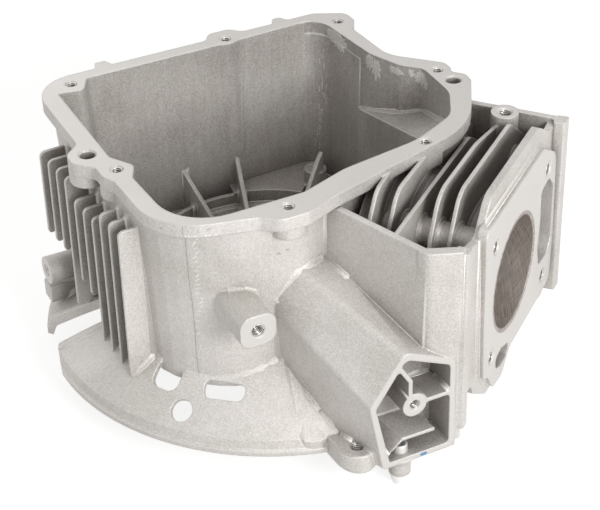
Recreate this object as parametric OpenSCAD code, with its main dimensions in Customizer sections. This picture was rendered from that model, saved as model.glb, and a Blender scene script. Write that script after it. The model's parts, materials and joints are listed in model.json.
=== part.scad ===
// Engine block of a single-cylinder, vertical-shaft, overhead-valve engine, as a bare die casting.
// All sizes in millimetres. It stands as in the photo: sump face up, flywheel side down.
// Origin: centre of the bore on the deck face. +X points out of the deck, +Z along the crankshaft.

/* [Cylinder] */
// Finished bore of the iron liner
bore_d = 90; // [86:0.5:94]
// Wall of the cast-in iron liner
liner_t = 3.2; // [2:0.1:4]
// Aluminium barrel around the liner
barrel_t = 7; // [5:0.5:9]
// Crankshaft axis to deck face
crank_to_deck = 214; // [208:1:220]
// Head bolt spacing across the block
head_y = 120.6; // [118:0.2:123]
// Head bolt spacing along the crankshaft axis
head_z = 101.2; // [99:0.2:103]
// Head bolt thread, drilled diameter
head_bolt_d = 10; // [8:0.5:11]
// Height of the machined deck pad above its flange
pad_h = 6; // [4:0.5:8]
// Thickness of the deck flange
deck_t = 6; // [5:0.5:8]

/* [Cooling fins] */
// Fins round the cylinder
fin_count = 5; // [4:1:5]
// Spacing of the cylinder fins
fin_pitch = 14.4; // [13.4:0.2:14.6]
// Thickness of a fin
fin_t = 3; // [2:0.25:4]
// Spacing of the ten fins on the crankcase wall
case_fin_pitch = 15.2; // [14:0.2:16]

/* [Crankcase] */
// Width of the crankcase across its flats
case_w = 268; // [262:1:272]
// Turn of the crankcase from the cylinder axis
case_turn = -38; // [-40:1:-36]
// Sump face above the cylinder axis
sump_h = 95; // [92:1:98]
// Thickness of the sump flange
flange_t = 11; // [8:0.5:14]
// Depth of the lugs under the bolt holes
lug_h = 21; // [18:1:24]
// Inner floor below the cylinder axis
floor_h = 52; // [49:1:54]
// Thickness of the floor
floor_t = 7; // [5:0.5:9]
// Sump bolt thread, drilled diameter
sump_bolt_d = 8; // [6:0.5:9]
// Dowel hole diameter
dowel_d = 12; // [9:0.5:13]
// Main bearing bore
main_d = 38; // [34:0.5:42]
// Camshaft bearing bore
cam_d = 18; // [15:0.5:20]

/* [Skirt] */
// Outer radius of the skirt rim
rim_r = 191; // [188:1:194]
// Rim and bottom edges below the cylinder axis
base_h = 93; // [91:1:96]
// Slope of the skirt
skirt_slope = 40; // [36:1:43]
// Thickness of the skirt
skirt_t = 4.5; // [3.5:0.5:6]

/* [Air shroud and breather box] */
// Height of the shroud walls above the cylinder axis
shroud_h = 83; // [80:1:86]
// Thickness of the shroud walls
shroud_t = 5; // [4:0.5:6]
// Wall of the breather box
box_t = 4.6; // [3.5:0.1:5.5]
// Breather box cover screw, drilled diameter
cover_d = 8; // [6:0.5:9]
// Bore of the pressed drain tube
drain_d = 8; // [6:0.5:9]

/* [Mounting bosses] */
// Length of the front boss from the wall
front_boss_l = 32; // [26:1:36]
// Hole in the front boss and in the ear
mount_d = 10; // [8:0.5:11]
// Height of the ear
ear_t = 13; // [10:0.5:15]

/* [Hidden] */
$fn = 96;

deck_x = crank_to_deck;
ck = case_w / 268;
liner_r = bore_d / 2 + liner_t;
barrel_r = liner_r + barrel_t;
flange_x = deck_x - pad_h;
taper = 1.046;
tc = [60, 20];
wall_top = sump_h - flange_t;
wall_bot = -floor_h - floor_t;
rim_z = -base_h;
head_y0 = 14.6;
liner_x = 98;
liner_ch = 0.6;
seal_h = 14;
main_boss_h = 24;
cam_boss_h = 13;
cam_at = [20, 60];
ear_at = [208.6, -28];
front_at = [-85, 18.5];
left_at = [-58.5, -35.5];
cover_at = [9.3, -41.3];
drain_at = [218.5, 3];
tube_t = 1.8;
drain_boss_h = 15.7;
collar_t = 1.6;
collar_l = 3.7;
tube_r = drain_d / 2 + tube_t;
tube_z = -base_h - drain_boss_h;
skirt_c = [8.5, 0.5];
cosw = cos(-22.6);
sinw = sin(-22.6);

// Outlines in the crankcase's own frame: u across the front, v across the back, then a corner radius.
flange_out = [[-129, -143.5, 35], [-129, -87, 3], [-138, -84, 3], [-138, -75, 3], [-129.5, -72, 3],
    [-129.5, 13, 7], [-139.5, 19, 9], [-139.5, 38, 9], [-130, 47, 8],
    [-130, 75.5, 3], [-138, 78.5, 3], [-138, 85.5, 3], [-130.5, 90, 4],
    [-130.5, 114, 14], [-117, 139.5, 10], [-101, 139.5, 9], [-90, 130.5, 12],
    [-33, 133, 30], [2, 166.5, 8], [12, 166.5, 6], [18, 163.5, 4], [27, 171.5, 8], [38, 170, 8],
    [99, 133, 80], [139, -8, 20], [149.5, -33, 12], [149.5, -55, 12], [138.5, -68, 10],
    [120, -139, 50], [43, -140, 6], [32, -145, 8], [17, -145, 8], [4, -158, 10], [-10, -158, 10],
    [-22, -144.5, 8]];
flange_in = [[-105, -128.7, 3], [-99.5, -108, 7], [-117.8, -99, 7],
    [-117.8, 19, 8], [-114.8, 29, 8], [-118.2, 39, 8],
    [-121, 114, 20], [-42, 121.5, 30], [-12, 133, 20], [2, 146.8, 10], [46, 145, 30], [78, 127, 26],
    [98.5, 85, 60], [109, 16, 60], [123.5, -24, 15], [124, -123.5, 40],
    [44, -126, 6], [28, -118, 7], [8, -130, 8]];
main_in = [[-105, -128.7, 3], [-99.5, -108, 7], [-117.8, -99, 7],
    [-117.8, 19, 8], [-114.8, 29, 8], [-118.2, 39, 8],
    [-121, 114, 20], [-58, 120, 3], [-53, 118.4, 3], [80, 119, 16],
    [97.5, 84, 50], [109, 16, 60], [123.5, -24, 15], [124, -123.5, 40],
    [44, -126, 6], [28, -118, 7], [8, -130, 8]];
wall_base = [[-118, -131, 36], [-119, 122, 28], [-38, 123, 30], [4, 157, 18], [34, 160, 18],
    [92, 126, 40], [118, 14, 30], [131, -28, 15], [135, -131, 76]];
sump_bolts = [[-114.4, -113.5], [-125.4, 28.9], [-107.8, 126.5], [9.1, 155.6], [102.9, 89.3],
    [134.5, -43], [26.6, -131.6]];
dowels = [[30, 158], [-3.9, -143]];

// A closed outline with a rounded corner at each point.
function unit(a) = a / norm(a);
function xy(p) = [p[0], p[1]];
function corner(a, p, c, st) = let(
    d1 = unit(xy(a) - xy(p)),
    d2 = unit(xy(c) - xy(p)),
    h = acos(max(-1, min(1, d1 * d2))) / 2,
    m = xy(p) + unit(d1 + d2) * p[2] / sin(h),
    s = xy(p) + d1 * p[2] / tan(h) - m,
    e = xy(p) + d2 * p[2] / tan(h) - m,
    a1 = atan2(s[1], s[0]),
    a2 = atan2(e[1], e[0]),
    da = a2 - a1 > 180 ? a2 - a1 - 360 : (a2 - a1 < -180 ? a2 - a1 + 360 : a2 - a1),
    n = max(1, ceil(abs(da) / st)))
    [for (i = [0 : n]) m + p[2] * [cos(a1 + da * i / n), sin(a1 + da * i / n)]];
function rounded(p, st = 10) = let(n = len(p))
    [for (i = [0 : n - 1]) each corner(p[(i + n - 1) % n], p[i], p[(i + 1) % n], st)];
function grown(p, f, c) = [for (q = p) [c[0] + (q[0] - c[0]) * f, c[1] + (q[1] - c[1]) * f, q[2]]];

// Crankcase frame: u and v axes, turned on the crankshaft axis.
module in_case() {
    rotate([0, 0, case_turn])
        children();
}

// A prism that narrows downwards, from an outline at its foot.
module drafted(p, z0, z1, f) {
    translate([tc[0] * ck, tc[1] * ck, z0])
        linear_extrude(height = z1 - z0, scale = f)
            polygon([for (q = rounded(p)) [(q[0] - tc[0]) * ck, (q[1] - tc[1]) * ck]]);
}

module prism(p, z0, z1) {
    translate([0, 0, z0])
        linear_extrude(height = z1 - z0)
            polygon([for (q = rounded(p)) q]);
}

module case_prism(p, z0, z1) {
    translate([0, 0, z0])
        linear_extrude(height = z1 - z0)
            polygon([for (q = rounded(p)) [q[0] * ck, q[1] * ck]]);
}

module xprism(p, x0, x1) {
    translate([x0, 0, 0])
        rotate([90, 0, 90])
            linear_extrude(height = x1 - x0)
                polygon([for (q = rounded(p)) q]);
}

module xcyl(r, x0, x1, y, z) {
    translate([x0, y, z])
        rotate([0, 90, 0])
            cylinder(r = r, h = x1 - x0);
}

module drill(r, rc, depth) {
    translate([0, 0, -depth])
        cylinder(r = r, h = depth + 1);
    translate([0, 0, -(rc - r)])
        cylinder(r1 = r, r2 = rc + 0.01, h = rc - r + 0.01);
}

// Crankcase shell, outside
module case_outside() {
    in_case() {
        drafted(wall_base, wall_bot, wall_top + 1, taper);
        case_prism(flange_out, wall_top, sump_h);
        intersection() {
            case_prism(flange_out, sump_h - lug_h, sump_h);
            union() {
                for (b = sump_bolts)
                    translate([b[0] * ck, b[1] * ck, sump_h - lug_h])
                        cylinder(r = 13.5, h = lug_h);
                for (b = dowels)
                    translate([b[0] * ck, b[1] * ck, sump_h - lug_h])
                        cylinder(r = 15.5, h = lug_h);
            }
        }
    }
}

module case_cavity() {
    in_case() {
        drafted(grown(main_in, 1 / taper, tc), -floor_h, sump_h + 0.01, taper);
        difference() {
            case_prism(flange_in, sump_h - 62, sump_h + 1);
            // sloping ledge below the lobe
            translate([-44 * ck, 119 * ck, 41])
                rotate([11.5, -11.5, 0])
                    translate([-60, -60, -80])
                        cube([240, 160, 80]);
            translate([-140 * ck, 60 * ck, sump_h - 63])
                cube([84 * ck, 100 * ck, 52]);
            translate([-140 * ck, -140 * ck, sump_h - 63])
                cube([300 * ck, 240 * ck, 62]);
        }
    }
}

// Conical skirt round the flywheel, open under the cylinder and slotted at the front left
module skirt_ring(a0, a1) {
    zt = rim_z + 13;
    rt = rim_r - 3.3;
    k = tan(skirt_slope);
    translate([skirt_c[0], skirt_c[1], 0])
        rotate([0, 0, a0])
            rotate_extrude(angle = a1 - a0)
                polygon([[118, zt + (rt - 118) * k], [rt, zt], [rim_r - 1.5, rim_z + 4.5], [rim_r, rim_z + 4],
                    [rim_r, rim_z], [rim_r - 4.5, rim_z], [rt - skirt_t * 0.9, zt - skirt_t * 0.75],
                    [118, zt + (rt - 118) * k - skirt_t / cos(skirt_slope)]]);
}

// A cut square to the skirt's slope, at an angle and a radius on its outer face
module skirt_cut(a, r) {
    translate([skirt_c[0], skirt_c[1], 0])
        rotate([0, 0, a])
            translate([r, 0, rim_z + 13 + (rim_r - 3.3 - r) * tan(skirt_slope)])
                rotate([0, skirt_slope, 0])
                    translate([0, 0, -20])
                        linear_extrude(height = 40)
                            children();
}

slot_cut = [[-185, -178, 1], [-88, -178, 1], [-122.6, -133, 1.5], [-84, -123.2, 1], [-60, -117, 1], [-60, -104, 1], [-94.5, -104.1, 1],
    [-185, -106.3, 1]];
module skirt() {
    difference() {
        union() {
            skirt_ring(36, 326);
            // raised lips along the two edges of the slot
            intersection() {
                translate([0, 0, 2.6])
                    skirt_ring(180, 270);
                translate([0, 0, rim_z + 0.5])
                    linear_extrude(height = 100)
                        polygon([[-185, -145], [-60, -113], [-60, -121], [-185, -153]]);
            }
            intersection() {
                translate([0, 0, 2.6])
                    skirt_ring(180, 270);
                translate([0, 0, rim_z + 0.5])
                    linear_extrude(height = 100)
                        polygon([[-185, -110.3], [-80, -107.8], [-80, -99.8], [-185, -102.3]]);
            }
        }
        prism(slot_cut, rim_z - 1, 60);
        skirt_cut(-95.5, 159.5)
            polygon(rounded([[-11, -11.5, 7], [10, -12, 7], [11, 11, 8], [-10, 11, 7]]));
        skirt_cut(-88.5, 176.4)
            circle(r = 8.8);
        skirt_cut(-78.3, 160)
            polygon(rounded([[-7, -16.5, 5], [7.5, -16, 6], [7.5, 15, 6], [-6, 16, 5]]));
    }
}

// Ten upright fins on the left wall, standing square off it
module case_fins() {
    z_top = [69, 69, 69, 69, 57, 57, 57, 69, 69, 69];
    z_bot = [-7, -7, -7, -52, -20, -24, -66, -66, -66, -66];
    in_case()
        for (i = [0 : 9])
            let(u = (-67 + case_fin_pitch * i) * ck, tip = (-161 + 1.1 * i) * ck)
                translate([u - fin_t / 2 + 0.2, 0, 0])
                    rotate([90, 0, 90])
                        linear_extrude(height = fin_t - 0.4)
                            polygon(rounded([[-122 * ck, z_top[i] + 1, 1], [tip, z_top[i], 5],
                                [tip, z_bot[i], 3], [-122 * ck, z_bot[i] + 12, 1]]));
}

// Lugs and bosses on the outside of the crankcase
module case_bosses() {
    in_case() {
        translate([left_at[0] * ck, -120 * ck, left_at[1]])
            rotate([90, 0, 0])
                cylinder(r = 11.5, h = 49 * ck);
        translate([-72 * ck, -168 * ck, -67])
            cube([15, 48, 15]);
        translate([100, front_at[0] * ck, front_at[1]])
            rotate([90, 0, 90])
                linear_extrude(height = 34 * ck + front_boss_l)
                    polygon(rounded([[-14.5, -13.5, 9.5], [14.5, -13.5, 9.5], [14.5, 13.5, 9.5],
                        [-14.5, 13.5, 9.5]]));
    }
}

// Breather box: runs beside the near shroud wall, falling and narrowing towards its open end
root_out = [[-8, -10, 2], [-20, 0, 2], [-34, 39.5, 2], [-50, 38.5, 3], [-67, 40, 12], [-88.5, 14, 16],
    [-86, -14, 12], [-82, -33, 12], [-79, -97, 3], [-8, -97, 3]];
mouth_out = [[-28.2, -31.5, 5], [0.8, 9.5, 8], [43, -11.5, 5], [44.7, -93, 6], [-17, -93, 3]];
mouth_in = [[-23.3, -34, 4], [1.5, 2.7, 6], [39, -15.3, 5], [39.3, box_t - 93, 4], [-11.5, box_t - 93, 3]];
box_back = 199;
box_web = [[3.9, -41], [7.1, -41], [7.1, -17.7], [-5, 2], [-9, 2], [3.9, -19]];
module along_wall() {
    rotate([0, 0, -24])
        children();
}

module section(p, w) {
    along_wall()
        translate([w, 0, 0])
            rotate([90, 0, 90])
                linear_extrude(height = 0.1)
                    polygon(rounded(p));
}

module box_body() {
    intersection() {
        hull() {
            section(root_out, 112);
            in_case()
                translate([228.9, 0, 0])
                    rotate([90, 0, 90])
                        linear_extrude(height = 0.1)
                            polygon(rounded(mouth_out));
        }
        in_case()
            translate([80, -120, rim_z])
                cube([149, 260, 160]);
    }
}

module box_cavity() {
    in_case()
        difference() {
            translate([box_back, 0, 0])
                rotate([90, 0, 90])
                    linear_extrude(height = 40)
                        polygon(rounded(mouth_in));
            // cover screw boss with its two webs
            translate([box_back - 2, cover_at[0], cover_at[1]])
                rotate([0, 90, 0])
                    cylinder(r = 10, h = 50);
            translate([box_back - 2, cover_at[0], cover_at[1] - 1])
                cube([50, 60, 3.2]);
            translate([box_back - 2, 0, 0])
                rotate([90, 0, 90])
                    linear_extrude(height = 50)
                        polygon(box_web);
        }
    // pocket under the box, open to the flywheel side
    along_wall()
        prism([[146, -72, 5], [178, -72, 5], [178, -24, 5], [146, -24, 5]], rim_z - 1, -14);
}

// The oil baffle inside the box, a bent plate that stops short of the opening
module box_baffle() {
    intersection() {
        along_wall()
            translate([226, 0, 0])
                rotate([0, 7.5, 0])
                    rotate([90, 0, 90])
                        translate([0, 0, -88])
                            linear_extrude(height = 120)
                                polygon([[-67.5, -84], [-54.5, -70.8], [-28, -70.4], [-28, -73], [-55.6, -73.4],
                                    [-69.4, -86]]);
        in_case()
            translate([box_back - 2, -120, rim_z])
                cube([229 - box_back, 260, 100]);
    }
}

// Shroud walls either side of the fins
module near_wall() {
    translate([94.6, -86.5, 0])
        rotate([0, 0, -19.14])
            translate([-12, 0, 0])
                rotate([90, 0, 90])
                    linear_extrude(height = 110)
                        polygon([[shroud_t, shroud_h], [0.6, shroud_h], [0, shroud_h - 0.6], [-3.2, -12], [-3.2, -50],
                            [shroud_t, -50]]);
    difference() {
        prism([[deck_x - 30, -112.6, 1], [deck_x - 4, -99, 1.5], [deck_x - 4, -107.6, 2], [deck_x - 25.5, -120, 9],
            [deck_x - 36, -116.2, 1]], rim_z + 5, shroud_h);
        in_case()
            translate([228.4, 0, rim_z - 1])
                cube([20, 80, 99]);
    }
    // end rib
    prism([[deck_x - 12, -106, 1], [deck_x - 1, -103.5, 1.5], [deck_x - 1, -95, 1.5], [deck_x - 12, -95, 1]],
        rim_z + 15, shroud_h - 4);
}

module far_wall() {
    prism([[112, 101, 1], [deck_x + 3, 104, 1], [deck_x + 3, 104 + shroud_t, 1], [108, 101 + shroud_t, 1]],
        -77, shroud_h - 4);
    prism([[deck_x - 6, 98, 1.5], [deck_x + 3.5, 99, 1.5], [deck_x + 3.5, 111, 1.5], [deck_x - 6, 110, 1.5]],
        -80, shroud_h - 4);
    // foot of the wall back to the crankcase
    prism([[70, 104, 1], [deck_x - 60, 104, 1], [deck_x - 60, 108, 1], [60, 120, 1]], -77, shroud_h - 12);
}

// Cylinder barrel, bolt columns, fins and deck
deck_outline = [[-106, 76, 2], [-64, 67, 8], [-45, 92, 16], [62, 93, 10], [94, 73, 3], [106, 76, 2], [106, -66, 3],
    [98, -84, 6], [86, -84, 6], [70, -66, 8], [2, -64, 8], [-18, -93, 8], [-40, -92, 10], [-68, -72, 8],
    [-74, -60, 6], [-106, -60, 3]];
pad_outline = [[-68, 76, 8], [60, 77, 14], [93, 56, 18], [97.5, -20, 30], [95, -65, 8], [74, -68, 6],
    [-2, -70, 10], [-19, -86, 9], [-40, -84, 8], [-52, -66, 6], [-63, -60, 8], [-66, -10, 30]];
fin_x = 16.9;
// the third fin is lower and runs out to the near shroud wall
fin_outlines = [
    [[-63, -58, 8], [-62.5, 55, 30], [-43, 88.5, 22], [66, 89, 12], [100, 62, 4], [100, -58, 4], [60, -70, 10],
        [-50, -70, 12]],
    [[-66.5, -58, 8], [-66, 52, 30], [-46, 87, 24], [30, 87, 60], [88, 76, 10], [100, 60, 4], [100, -58, 4],
        [60, -70, 10], [-50, -72, 12]],
    [[-104, -44, 1], [-104, 76.4, 1], [54, 77.4, 16], [88, 55, 8], [100, 50, 4], [100, -58, 4], [60, -70, 10],
        [-50, -74, 14], [-78, -60, 8]],
    [[-75, -58, 8], [-75, 60, 20], [-58, 88, 20], [66, 87, 12], [100, 62, 4], [100, -58, 4], [60, -70, 10],
        [-50, -74, 14]],
    [[-77.5, -58, 8], [-77, 68, 16], [-62, 88, 16], [-36, 91, 20], [66, 87, 12], [100, 62, 4], [100, -58, 4],
        [60, -70, 10], [-50, -74, 14]]];
slot_outline = [[59, 38, 5], [78, 41, 9], [91, 27, 9], [92, -24, 9], [84, -34, 8], [62, -34, 8], [57, -14, 8],
    [60.5, 12, 30]];

module cylinder_casting() {
    xcyl(barrel_r, 60, deck_x - 2, 0, 0);
    for (y = [-1, 1], z = [-1, 1])
        xcyl(10.5, 92, deck_x - 2, head_y0 + y * head_y / 2, z * head_z / 2);
    for (i = [1 : fin_count])
        xprism(fin_outlines[i - 1], deck_x - fin_x - fin_pitch * i - fin_t / 2,
            deck_x - fin_x - fin_pitch * i + fin_t / 2);
    // flared root of the barrel
    intersection() {
        translate([112, 0, 0])
            rotate([0, 90, 0])
                cylinder(r1 = 91, r2 = barrel_r, h = 47);
        xprism([[-74, -56, 8], [-74, 62, 16], [-58, 82, 16], [66, 82, 12], [96, 62, 4], [96, -56, 4]], 100, 160);
    }
    xprism(deck_outline, flange_x - deck_t, flange_x);
    xprism(pad_outline, flange_x - 2, deck_x);
    // pushrod tunnel
    xprism([[52, 46, 6], [99, 46, 6], [99, -41, 6], [52, -41, 6]], 60, deck_x - 4);
    // threaded boss on top of the fins
    translate([deck_x - 42, 86, 50])
        cylinder(r = 11, h = 37);
}

module ear() {
    in_case()
        translate([0, 0, rim_z])
            linear_extrude(height = ear_t)
                polygon(rounded([[160, -40.5, 2], [172, -41.5, 2], [221.5, -43.5, 13.5], [221.5, -12, 4], [160, -4, 2]]));
    // sloping facet between the skirt and the box
    hull() {
        translate([60, -127, -52])
            sphere(r = 3, $fn = 16);
        translate([74, -116, -36])
            sphere(r = 3, $fn = 16);
        translate([103.4, -156.5, -81])
            sphere(r = 3, $fn = 16);
        translate([111, -134, -78])
            sphere(r = 4, $fn = 16);
        translate([80, -100, -80])
            sphere(r = 4, $fn = 16);
    }
    // boss round the drain tube
    in_case()
        translate([drain_at[0], drain_at[1], tube_z]) {
            cylinder(r = tube_r + 2.6, h = drain_boss_h + 3);
            translate([0, 0, drain_boss_h - 6])
                cylinder(r1 = tube_r + 2.6, r2 = tube_r + 6.2, h = 7);
        }
}

module interior() {
    in_case() {
        // ring round the main bearing
        difference() {
            union() {
                translate([0, 0, -floor_h - 1])
                    cylinder(r = 100.5, h = 13);
                intersection() {
                    rotate([0, 0, 135])
                        translate([0, 0, -floor_h - 1])
                            linear_extrude(height = 15)
                                polygon([[0, 0], [200, 0], [185, 78], [150, 105]]);
                    drafted(grown(main_in, 1 / taper, tc), -floor_h - 1, -floor_h + 20, 1);
                }
            }
            translate([0, 0, -floor_h - 0.01])
                cylinder(r = 97, h = 20);
        }
        // webs from the wall to the bearing
        for (a = [38 + 153, 38 + 128, 38 + 92])
            rotate([0, 0, a])
                translate([0, 1.8, 0])
                    rotate([90, 0, 0])
                        linear_extrude(height = 3.6)
                            polygon([[30, -floor_h - 1], [122, -floor_h - 1], [122, -10], [114, -13],
                                [72, -43], [30, -45]]);
        // main bearing boss
        translate([0, 0, -floor_h - 1])
            cylinder(r1 = 40, r2 = 37, h = main_boss_h + 1);
        // camshaft bearing boss
        translate([cam_at[0], cam_at[1], -floor_h - 1])
            cylinder(r = 16, h = cam_boss_h + 1);
        rotate([0, 0, 38 + 94])
            translate([118, 0, -floor_h - 1])
                cylinder(r1 = 11, r2 = 9.5, h = 28);
    }
}

module underside() {
    // oil seal boss and ribs under the floor
    translate([0, 0, wall_bot - seal_h])
        cylinder(r = 36, h = seal_h + 4);
    for (a = [0 : 60 : 300])
        rotate([0, 0, a + 20])
            translate([30, -2, wall_bot - 8])
                cube([96, 4, 10]);
}

module block() {
    color("#b9b4ae")
        difference() {
            union() {
                difference() {
                    union() {
                        case_outside();
                        skirt();
                        case_fins();
                        case_bosses();
                        box_body();
                        near_wall();
                        far_wall();
                        cylinder_casting();
                        ear();
                        underside();
                    }
                    case_cavity();
                    box_cavity();
                    xprism(slot_outline, 60, deck_x + 1);
                }
                box_baffle();
                interior();
            }
            holes();
        }
}

module holes() {
    // bore, cut to the outside of the liner, and its mouth in the crankcase
    xcyl(liner_r, 50, deck_x + 1, 0, 0);
    for (y = [-1, 1], z = [-1, 1])
        translate([deck_x, head_y0 + y * head_y / 2, z * head_z / 2])
            rotate([0, 90, 0])
                drill(head_bolt_d / 2, head_bolt_d / 2 + 2, 34);
    // oil return
    xprism([[-37, -60, 5], [-24, -57, 5], [-6, -63, 5], [-6, -74, 5], [-22, -75, 5], [-34, -70, 5]],
        120, deck_x + 1);
    in_case() {
        for (b = sump_bolts)
            translate([b[0] * ck, b[1] * ck, sump_h])
                drill(sump_bolt_d / 2, sump_bolt_d / 2 + 1.5, lug_h - 3);
        for (b = dowels)
            translate([b[0] * ck, b[1] * ck, sump_h])
                drill(dowel_d / 2, dowel_d / 2 + 1.4, 14);
        translate([left_at[0] * ck, -169 * ck, left_at[1]])
            rotate([90, 0, 0])
                drill(4.2, 5.4, 26);
        translate([100 + 34 * ck + front_boss_l, front_at[0] * ck, front_at[1]])
            rotate([0, 90, 0])
                drill(mount_d / 2, mount_d / 2 + 1, 24);
        translate([ear_at[0], ear_at[1], rim_z + ear_t])
            drill(mount_d / 2, mount_d / 2 + 1, ear_t + 2);
    }
    in_case() {
        translate([229, cover_at[0], cover_at[1]])
            rotate([0, 90, 0])
                drill(cover_d / 2, cover_d / 2 + 0.6, 30);
        translate([drain_at[0], drain_at[1], tube_z - 1])
            cylinder(r = tube_r, h = drain_boss_h + 13);
    }
    translate([deck_x - 42, 86, 87])
        drill(5, 6.8, 24);
    translate([0, 0, -200])
        cylinder(r = main_d / 2, h = 300);
    in_case()
        translate([cam_at[0], cam_at[1], -floor_h])
            cylinder(r = cam_d / 2, h = 20);
}

// Iron liner, cast into the barrel
module liner() {
    color("#6f6661")
        difference() {
            xcyl(liner_r, liner_x, deck_x, 0, 0);
            xcyl(bore_d / 2, liner_x - 2, deck_x + 1, 0, 0);
            translate([deck_x - liner_ch, 0, 0])
                rotate([0, 90, 0])
                    cylinder(r1 = bore_d / 2, r2 = bore_d / 2 + liner_ch + 0.1, h = liner_ch + 0.1);
        }
}

// Drain tube, pressed in the floor of the breather box
module drain_tube() {
    color("#d9d9d6")
        in_case()
            translate([drain_at[0], drain_at[1], 0])
                difference() {
                    union() {
                        translate([0, 0, tube_z])
                            cylinder(r = tube_r, h = drain_boss_h + 11);
                        translate([0, 0, tube_z - 0.6])
                            cylinder(r = tube_r + 1.1, h = 0.6);
                        translate([0, 0, tube_z - 0.6 - collar_l])
                            cylinder(r = tube_r + collar_t, h = collar_l);
                        translate([0, 0, tube_z - 6.9 - collar_l])
                            cylinder(r1 = tube_r - 0.6, r2 = tube_r + collar_t, h = 6.3);
                    }
                    translate([0, 0, rim_z - 60])
                        cylinder(r = drain_d / 2, h = 120);
                }
}

translate([-deck_x, 0, 0]) {
    block();
    liner();
    drain_tube();
}
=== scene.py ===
"""Looks of a die-cast engine block: one casting, its iron cylinder liner and its breather drain pipe."""
import json
import math
import random

import bmesh
import bpy
from mathutils import Matrix, Vector
from mathutils.bvhtree import BVHTree
from mathutils.kdtree import KDTree


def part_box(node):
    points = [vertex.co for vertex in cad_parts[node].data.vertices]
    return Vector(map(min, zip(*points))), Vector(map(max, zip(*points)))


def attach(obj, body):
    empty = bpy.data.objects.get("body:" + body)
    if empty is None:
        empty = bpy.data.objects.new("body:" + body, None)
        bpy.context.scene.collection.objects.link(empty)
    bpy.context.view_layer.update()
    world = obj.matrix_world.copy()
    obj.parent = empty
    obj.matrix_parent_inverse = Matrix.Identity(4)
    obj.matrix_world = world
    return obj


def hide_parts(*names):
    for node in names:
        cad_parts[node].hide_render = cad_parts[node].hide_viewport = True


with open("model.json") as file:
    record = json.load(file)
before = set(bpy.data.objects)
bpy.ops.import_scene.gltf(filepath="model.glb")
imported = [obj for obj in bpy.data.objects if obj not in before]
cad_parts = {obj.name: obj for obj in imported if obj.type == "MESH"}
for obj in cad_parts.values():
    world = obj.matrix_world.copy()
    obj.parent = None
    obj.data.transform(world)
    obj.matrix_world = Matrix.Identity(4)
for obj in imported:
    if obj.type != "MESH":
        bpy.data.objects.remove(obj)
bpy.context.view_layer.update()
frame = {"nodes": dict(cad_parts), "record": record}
mm = 0.001


# ---------------------------------------------------------------- the casting
# The block itself: one high-pressure die casting in aluminium-silicon alloy, shot-blasted after trimming.
# Its joint faces, boss ends and holes are machined afterwards and stay brighter and smoother than the skin.
block = frame["nodes"]["block"]
DECK = 214 * mm                       # crankshaft axis to the deck face, where the frame's origin lies
TURN = math.radians(-38)              # the crankcase is turned against the cylinder
ACROSS = Vector((math.cos(TURN), math.sin(TURN), 0))    # u: square to the wall with the front boss
ALONG = Vector((-math.sin(TURN), math.cos(TURN), 0))    # v: square to the finned wall
OUT_OF_DECK = Vector((1, 0, 0))
UPWARD = Vector((0, 0, 1))
CRANK = Vector((-DECK, 0, 0))
# Machined faces, as the way each one looks and how far out it lies from CRANK, in millimetres: sump face, deck,
# rim of the breather box, ends of the front, left and top bosses
MACHINED = [(UPWARD, 95), (OUT_OF_DECK, 214), (ACROSS, 229), (ACROSS, 166), (-ALONG, 169), (UPWARD, 87)]
FACE_LAYER = 0.25 * mm                # how near such a plane the surface has to lie
SQUARE_ON = 0.995                     # cosine of how far it may be turned from it
# Planes round the inside of the crankcase, told in the same way
CAVITY = [(ACROSS, 124.5), (-ACROSS, 122), (ALONG, 148), (-ALONG, 130.4), (ACROSS * 0.963 + ALONG * 0.271, 118),
          (-UPWARD, 56), (UPWARD, 94.6)]


def colour(code):
    """An sRGB hex value as linear red, green, blue and alpha."""
    parts = [int(code[i:i + 2], 16) / 255 for i in (0, 2, 4)]
    return [c / 12.92 if c <= 0.04045 else ((c + 0.055) / 1.055) ** 2.4 for c in parts] + [1]


def put(tree, kind, links=None, **settings):
    """Adds one node; links gives each input a value or another node's output socket."""
    made = tree.nodes.new(kind)
    for key, value in settings.items():
        setattr(made, key, value)
    for key, value in (links or {}).items():
        if isinstance(value, bpy.types.NodeSocket):
            tree.links.new(value, made.inputs[key])
        else:
            made.inputs[key].default_value = value
    return made


def new_material(name):
    """An empty material and its tree."""
    made = bpy.data.materials.new(name)
    made.use_nodes = True
    made.node_tree.nodes.clear()
    return made, made.node_tree


# Shot-blasted die-cast aluminium: a pale, nearly neutral, matt grey with a grain of about 1 mm. Outer edges get a
# painted highlight, and gaps and inner corners a painted shade.
cast, t = new_material("shot_blasted_die_cast_aluminium")
place = put(t, "ShaderNodeTexCoord").outputs["Object"]
facing = put(t, "ShaderNodeNewGeometry").outputs["True Normal"]
rounded = put(t, "ShaderNodeBevel", {"Radius": 1.7 * mm}, samples=6).outputs["Normal"]
# marks of the shot, 1.2 mm apart, shallow pits, 4 mm apart, and clouds of 70 mm
patterns = []
for per_metre, detail, roughness in ((820, 2, 0.7), (260, 3, 0.6)):
    noise = put(t, "ShaderNodeTexNoise", {"Vector": place, "Scale": per_metre, "Detail": detail,
                                          "Roughness": roughness}).outputs["Fac"]
    patterns.append(put(t, "ShaderNodeMapRange", {"Value": noise, "From Min": 0.3, "From Max": 0.7}).outputs[0])
grain, pits = patterns
cloud = put(t, "ShaderNodeTexNoise", {"Vector": place, "Scale": 14, "Detail": 4, "Roughness": 0.55,
                                      "Distortion": 0.5}).outputs["Fac"]
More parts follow.
